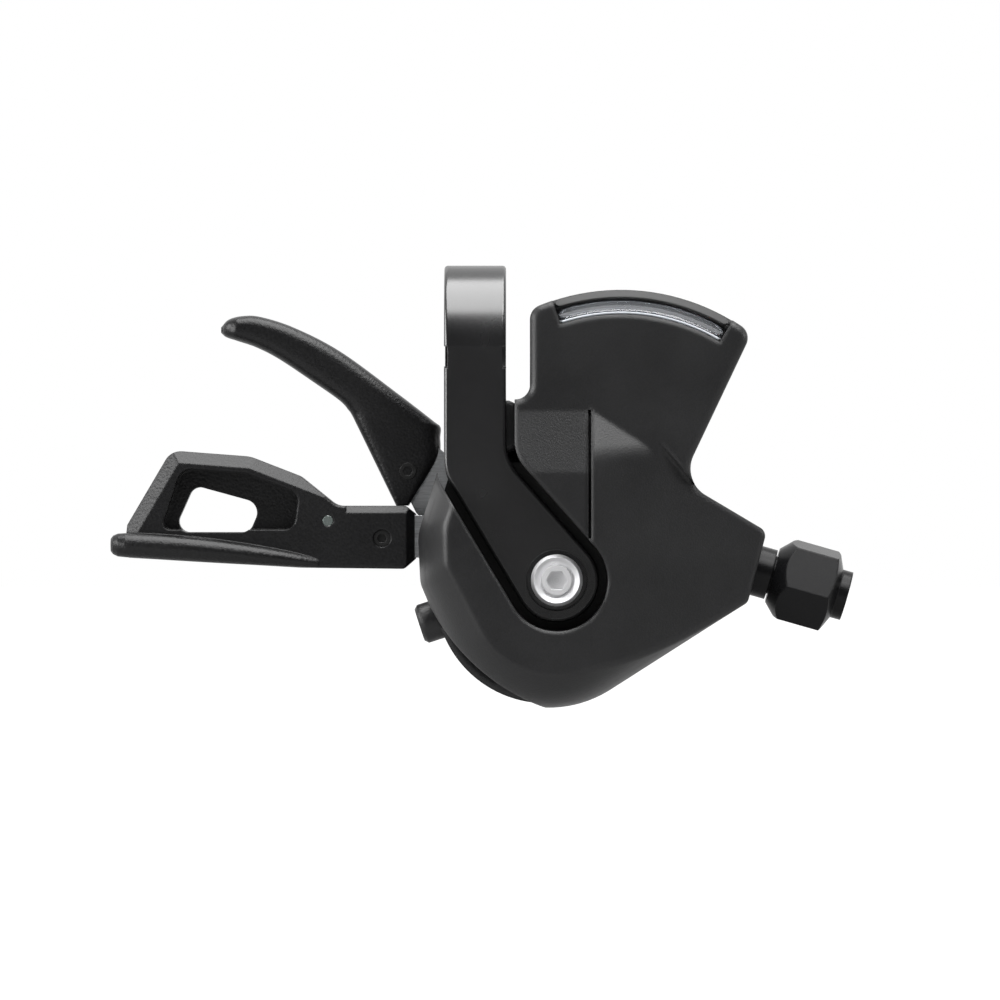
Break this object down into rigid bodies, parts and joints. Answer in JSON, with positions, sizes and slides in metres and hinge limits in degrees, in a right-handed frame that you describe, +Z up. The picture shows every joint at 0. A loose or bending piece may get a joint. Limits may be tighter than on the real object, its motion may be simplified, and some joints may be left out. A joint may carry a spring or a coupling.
{
  "type": "bicycle gear shifter",
  "caption": "Right-hand trigger shifter for a flat handlebar: clamp band, two thumb levers, ratcheted cable drum, gear window with a pointer, and a barrel adjuster.",
  "frame": {"origin": "centre of the clamp loop, on the handlebar's axis at mid width of the band", "axes": "+X along the handlebar towards the cable's exit, +Z up, -Y towards the viewer of the picture"},
  "size_m": [0.123, 0.0407, 0.073],
  "materials": {
    "cover_plastic": "fine-grained matt black",
    "lever_plastic": "coarse-grained matt black",
    "band_metal": "satin black anodised",
    "bolt_steel": "bright plated",
    "arm_steel": "galvanised",
    "machined_steel": "machined",
    "spring_steel": "polished wire",
    "drum_plastic": "grey moulded",
    "black_steel": "black oxide",
    "barrel_plastic": "half-gloss black",
    "window_clear": "clear moulded",
    "needle_red": "orange-red",
    "dial_grey": "plain dark"
  },
  "bodies": {
    "housing": {"clamp_band": "band_metal", "clamp_bolt": "bolt_steel", "front_cover": "cover_plastic", "rear_cover": "cover_plastic", "cover_screws": "black_steel", "cable_port_cap": "cover_plastic", "window_lens": "window_clear", "dial_plate": "dial_grey", "needle_post": "machined_steel", "base_bracket": "black_steel", "main_axle": "machined_steel", "axle_nut": "machined_steel", "axle_washer": "machined_steel", "lever_spacer": "machined_steel", "winder_spring": "spring_steel", "holding_pawl_pin": "machined_steel", "main_lever_spring": "spring_steel", "release_lever_spring": "spring_steel", "adjuster_core": "barrel_plastic"},
    "main_lever": {"main_lever_arm": "arm_steel", "main_lever_pad": "lever_plastic", "main_lever_screw": "black_steel", "main_lever_pin": "bolt_steel", "winding_pawl_pin": "machined_steel"},
    "winding_pawl": {"winding_pawl": "machined_steel"},
    "release_lever": {"release_lever_arm": "arm_steel", "release_lever_pad": "lever_plastic", "release_lever_screw": "black_steel"},
    "winder": {"cable_winder": "drum_plastic", "ratchet_plate": "machined_steel"},
    "holding_pawl": {"holding_pawl": "machined_steel"},
    "indicator": {"indicator_needle": "needle_red"},
    "adjuster": {"adjuster_barrel": "barrel_plastic"}
  },
  "joints": [
    {"name": "main_lever_swing", "type": "hinge", "parent": "housing", "child": "main_lever", "pos_m": [0.0134, 0, -0.0384], "axis": [0, -1, 0], "range_deg": [0, 36], "stiffness_Nm_per_rad": 0.2, "springref_deg": -17.19, "deforming": ["main_lever_spring"]},
    {"name": "release_lever_swing", "type": "hinge", "parent": "housing", "child": "release_lever", "pos_m": [0.0134, 0, -0.0384], "axis": [0, -1, 0], "range_deg": [-8, 8], "stiffness_Nm_per_rad": 0.6, "deforming": ["release_lever_spring"]},
    {"name": "winder_turn", "type": "hinge", "parent": "housing", "child": "winder", "pos_m": [0.0134, 0, -0.0384], "axis": [0, -1, 0], "range_deg": [0, 135], "deforming": ["winder_spring"]},
    {"name": "needle_turn", "type": "hinge", "parent": "housing", "child": "indicator", "pos_m": [0.0239, 0, -0.0262], "axis": [0, -1, 0], "range_deg": [0, 38]},
    {"name": "adjuster_turn", "type": "hinge", "parent": "housing", "child": "adjuster", "pos_m": [0.05167, -0.0032, -0.03838], "axis": [0.9617, 0, -0.274], "continuous": true},
    {"name": "winding_pawl_tilt", "type": "hinge", "parent": "main_lever", "child": "winding_pawl", "pos_m": [0.00589, 0, -0.02427], "axis": [0, 1, 0], "range_deg": [0, 10], "stiffness_Nm_per_rad": 0.01, "springref_deg": -17.19},
    {"name": "holding_pawl_tilt", "type": "hinge", "parent": "housing", "child": "holding_pawl", "pos_m": [0.02823, 0, -0.04439], "axis": [0, -1, 0], "range_deg": [0, 10], "stiffness_Nm_per_rad": 0.01, "springref_deg": -17.19}
  ],
  "couplings": [
    {"joint": "needle_turn", "follows": "winder_turn", "ratio": 0.28}
  ]
}
